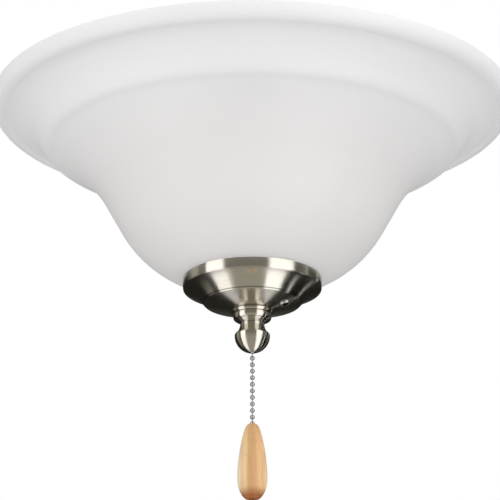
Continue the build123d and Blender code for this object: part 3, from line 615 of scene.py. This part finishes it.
def ballRun(pattern, node, body, first, last):
    # with no first ball given, the run starts at the top of its solid
    hung = first is not None
    if not hung:
        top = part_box(node)[1][2] - ballChain["radius"]
        first = round((ballChain["firstBall"] - top) / ballChain["pitch"])
    bm = bmesh.new()
    for count in range(first, last + 1):
        addBall(bm, pattern, ballHeight(count))
    inside = ballChain["radius"] / 2
    for count in range(first + 1, last + 1):
        addPin(bm, ballHeight(count - 1) - inside, ballHeight(count) + inside, True, True)
    if hung:
        start = ballHeight(first - 1) - ballChain["radius"] - ballChain["swivelGap"]
        addPin(bm, start, ballHeight(first) + inside, False, True)
    bmesh.ops.recalc_face_normals(bm, faces=bm.faces)
    run = solidPiece(node + "_balls", bm, body, "chain_nickel", ballChain["levels"])
    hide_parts(node)


ball = ballPattern()
for node, (body, first, last) in ballChain["runs"].items():
    ballRun(ball, node, body, first, last)
bpy.data.meshes.remove(ball)
print("ball chain strung in", len(ballChain["runs"]), "runs")

# Studio: a pale floor far below, soft lamps, and tall cards that only reflections see
studio = {
    "floorDrop": 6.0,
    "floorHalf": 30.0,
    "floorRough": 0.9,
    # the floor's grey for the light that it throws back, and for the camera
    "floorShade": (0.8, 0.96),
    "ambient": 0.72,
    "cardRadius": 1.6,
    "cardDrop": 0.18,
    "cardStrip": 5.0,  # degrees of bearing for each strip of a card's grid
    "cardRows": 30,
    # cards above this level are white, and the rest have the tint of a room
    "brightFrom": 1.0,
    "bright": (1.0, 1.0, 1.0),
    "room": (1.0, 0.97, 0.84),
    # where a card's light changes from below to beside, and from there to behind
    "belowTo": -0.7,
    "besideFrom": 0.2,
    "besideTo": 0.6,
    "behindFrom": 1.05,
    # each card: the bearings on turned metal where the camera sees it, positive to its right,
    # and its light behind the object, below it and beside it
    "cards": (
        (-180, -104, 0.04, 0.06, 0.06),
        (-104, -62, 0.02, 0.012, 0.34),
        (-62, -50, 0.02, 0.24, 0.42),
        (-50, -41, 0.05, 0.08, 0.2),
        (-41, -24, 0.6, 1.5, 1.8),
        (-24, -20, 0.34, 0.7, 0.2),
        (-20, 14, 0.34, 0.4, 0.2),
        (14, 33, 0.6, 1.7, 1.8),
        (33, 36, 0.1, 0.1, 1.8),
        (36, 45, 0.02, 0.015, 0.12),
        (45, 46.2, 0.05, 2.4, 0.13),
        (46.2, 49, 0.02, 0.015, 0.12),
        (49, 52, 0.02, 0.01, 0.55),
        (52, 67.6, 0.02, 0.008, 0.07),
        (67.6, 68.6, 1.5, 1.5, 0.5),
        (68.6, 104, 0.02, 0.008, 0.07),
        (104, 180, 0.04, 0.06, 0.06),
    ),
}


def stageSolid(name, bm, material):
    mesh = bpy.data.meshes.new(name)
    bm.to_mesh(mesh)
    bm.free()
    mesh.materials.append(material)
    made = bpy.data.objects.new(name, mesh)
    bpy.context.scene.collection.objects.link(made)
    return made


def glowing(name, behind, below, beside):
    # a card's light, blended by how far down and how far behind the object it hangs
    material = bpy.data.materials.new(name)
    material.use_nodes = True
    nodes, links = material.node_tree.nodes, material.node_tree.links
    nodes.remove(nodes["Principled BSDF"])
    links.new(nodes.new("ShaderNodeEmission").outputs[0], nodes["Material Output"].inputs["Surface"])
    tint = studio["bright"] if max(below, beside) > studio["brightFrom"] else studio["room"]
    tree = Tree(material, "EMISSION", {"Color": (*tint, 1.0)})
    spot = tree.place()
    level = tree.mapped(tree.along(spot, "Z"), studio["belowTo"], studio["besideFrom"], below, beside)
    level = tree.mapped(tree.along(spot, "Y"), studio["besideTo"], studio["behindFrom"], level, behind)
    tree.feed(tree.shader.inputs["Strength"], level)
    return material


def mirrored(bearing, slope):
    # where the camera's look goes from turned metal of this bearing and slope
    normal = Vector((sin(slope) * sin(bearing), -sin(slope) * cos(bearing), -cos(slope)))
    return look - normal * (2 * normal.dot(look))


def reflectionCard(number, start, stop, *levels):
    # a unit grid, whose points go where the camera sees them in metal from level to edge-on
    strips = max(2, round((stop - start) / studio["cardStrip"]))
    bm = bmesh.new()
    bmesh.ops.create_grid(bm, x_segments=strips, y_segments=studio["cardRows"], size=0.5)
    for vert in bm.verts:
        bearing = radians(start + (stop - start) * (vert.co.x + 0.5))
        last = atan2(sin(tilt), -cos(tilt) * cos(bearing))
        way = mirrored(bearing, last * (vert.co.y + 0.5))
        vert.co = way * studio["cardRadius"] - Vector((0, 0, studio["cardDrop"]))
    card = stageSolid(f"card{number}", bm, glowing(f"cardLight{number}", *levels))
    card.visible_camera = False
    card.visible_diffuse = False
    card.visible_shadow = False
    card.visible_transmission = False


for number, card in enumerate(studio["cards"]):
    reflectionCard(number, *card)

floorBm = bmesh.new()
bmesh.ops.create_grid(floorBm, x_segments=2, y_segments=2, size=studio["floorHalf"])
bmesh.ops.translate(floorBm, verts=floorBm.verts, vec=(0, 0, -studio["floorDrop"]))
floorFinish = finish("paleFloor", {"Roughness": studio["floorRough"]})
floorColour = floorFinish.between(floorFinish.seenBy("Is Camera Ray"), *studio["floorShade"])
floorFinish.shade(colour=floorColour)
stageSolid("paleFloor", floorBm, floorFinish.owner)

# A white background for the camera, reflections and glass; a plain softer level for the rest
world = bpy.data.worlds.new("studioWorld")
bpy.context.scene.world = world
sky = Tree(world, "BACKGROUND", {"Color": (1.0, 1.0, 1.0, 1.0)})
seen = sky.seenBy("Is Camera Ray")
for ray in ("Is Glossy Ray", "Is Transmission Ray"):
    seen = sky.maths("MAXIMUM", seen, sky.seenBy(ray))
sky.feed(sky.shader.inputs["Strength"], sky.between(seen, studio["ambient"], 1.0))

lamps = {
    # name: place, where it points, width and height, watts
    "frontLeft": ((-1.5, -1.3, 0.0), (0, 0, -0.12), (1.0, 1.6), 6.5),
    "frontRight": ((1.5, -1.3, 0.0), (0, 0, -0.12), (1.0, 1.6), 4.0),
    "highRight": ((1.2, -1.2, 1.1), (0, 0, -0.05), (0.7, 0.7), 5.0),
    "above": ((0.7, 0.5, 1.8), (0, 0, -0.1), (1.8, 1.8), 10.0),
    "below": ((0.25, -0.9, -1.7), (0, 0, -0.15), (1.4, 1.4), 4.4),
}
for name, (place, target, size, power) in lamps.items():
    lamp = bpy.data.lights.new(name, "AREA")
    lamp.shape = "RECTANGLE"
    lamp.size, lamp.size_y = size
    lamp.energy = power
    holder = bpy.data.objects.new(name, lamp)
    holder.location = place
    holder.rotation_mode = "QUATERNION"
    holder.rotation_quaternion = (Vector(target) - Vector(place)).to_track_quat("-Z", "Y")
    holder.visible_camera = False
    holder.visible_glossy = False
    bpy.context.scene.collection.objects.link(holder)
